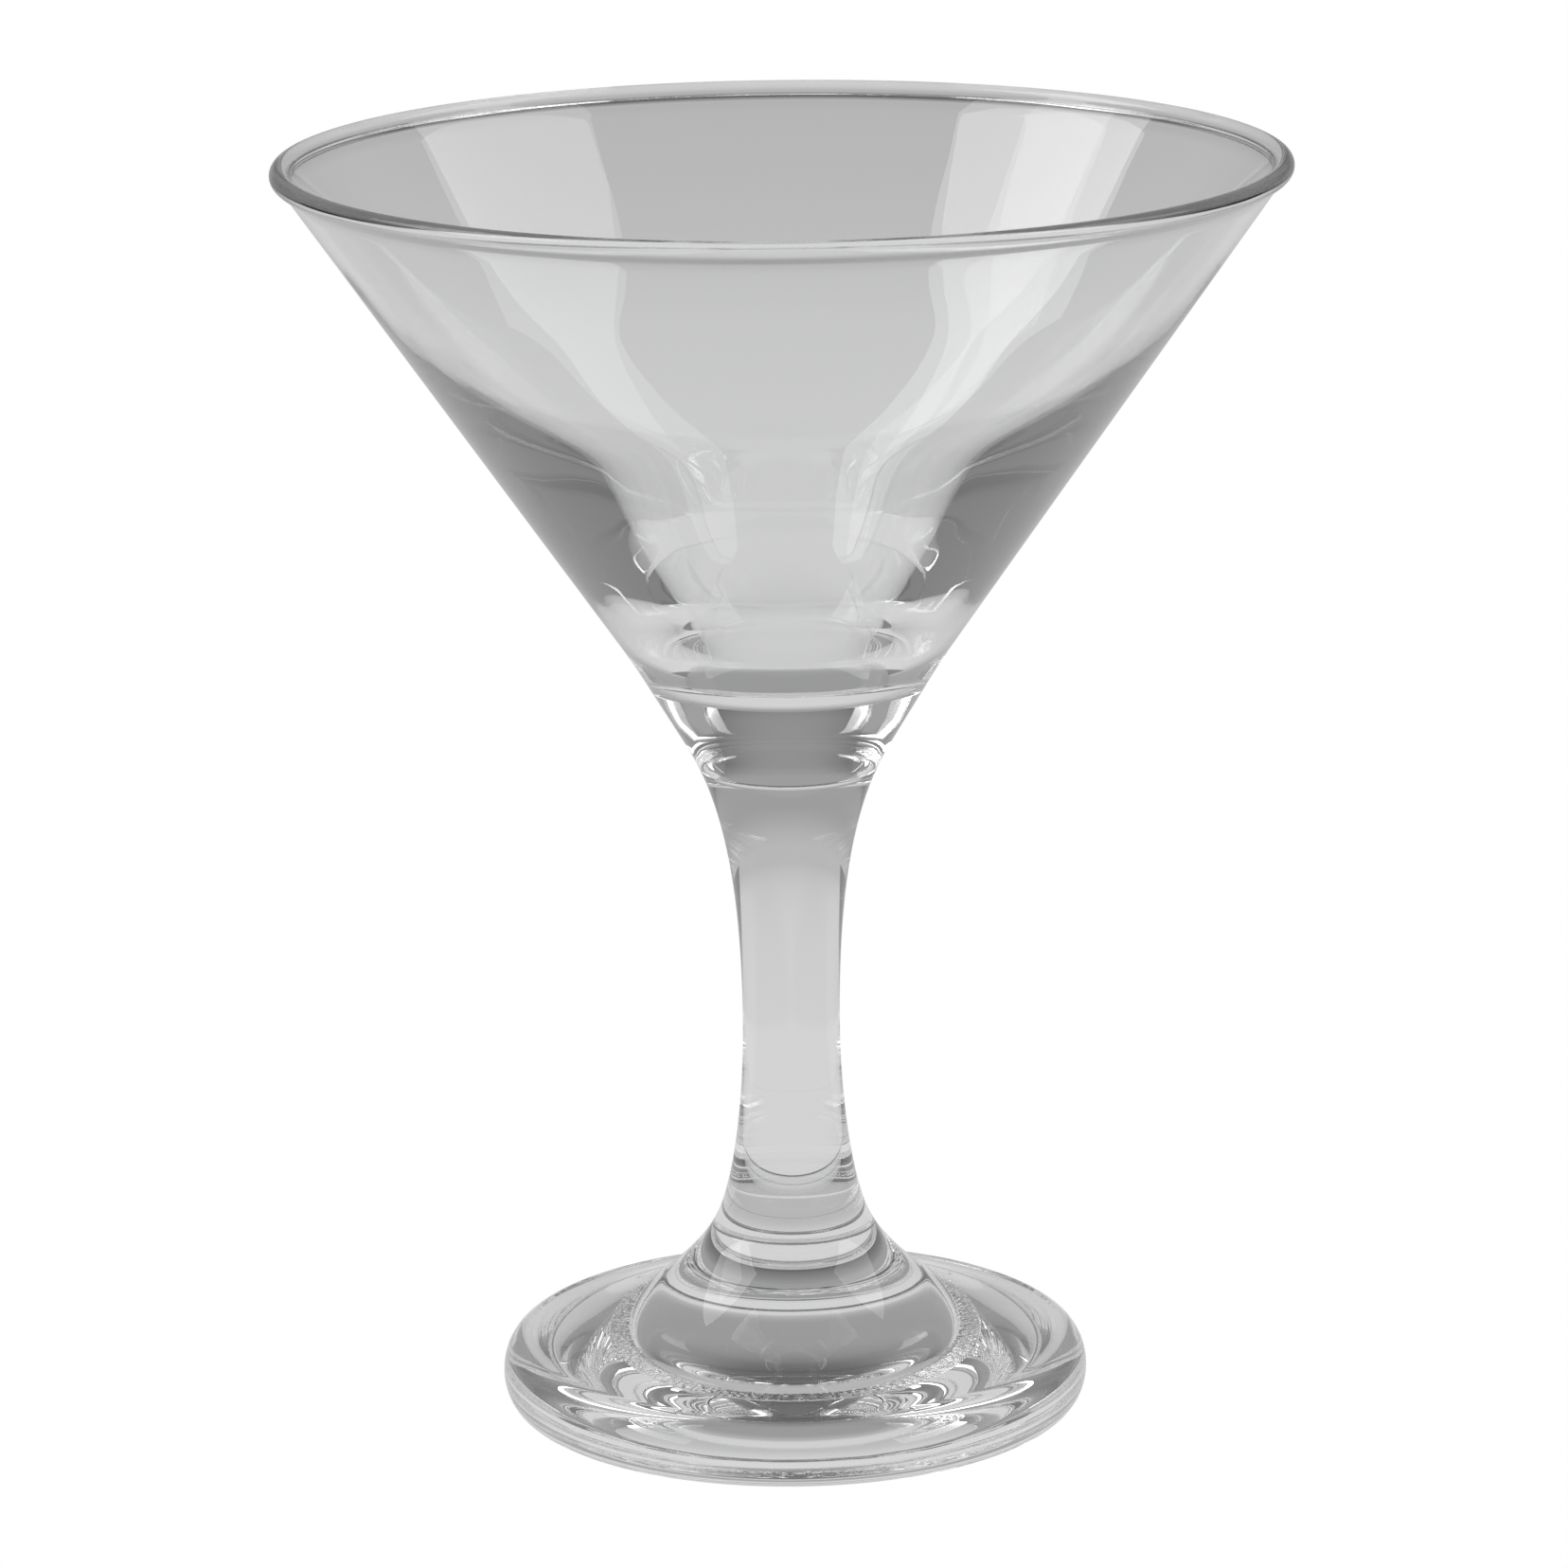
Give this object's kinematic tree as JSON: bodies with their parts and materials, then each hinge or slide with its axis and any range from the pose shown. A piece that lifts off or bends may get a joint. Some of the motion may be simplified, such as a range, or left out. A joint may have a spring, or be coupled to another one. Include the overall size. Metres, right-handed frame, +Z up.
{
  "type": "martini glass",
  "caption": "Clear cocktail glass: a wide cone bowl with a rounded rim, a solid waisted stem and a round foot with a shallow patterned recess underneath.",
  "frame": {"origin": "centre of the standing plane, on the glass's own axis", "axes": "+Z up along the axis of bowl, stem and foot; +X and +Y are any two directions around it"},
  "size_m": [0.1066, 0.1066, 0.136],
  "materials": {
    "bowl_glass": "clear, fire-polished",
    "stem_glass": "clear, fire-polished",
    "foot_glass": "clear, pressed, with a fine stippled band underneath"
  },
  "bodies": {
    "root": {"bowl": "bowl_glass", "stem": "stem_glass", "foot": "foot_glass"}
  },
  "joints": []
}
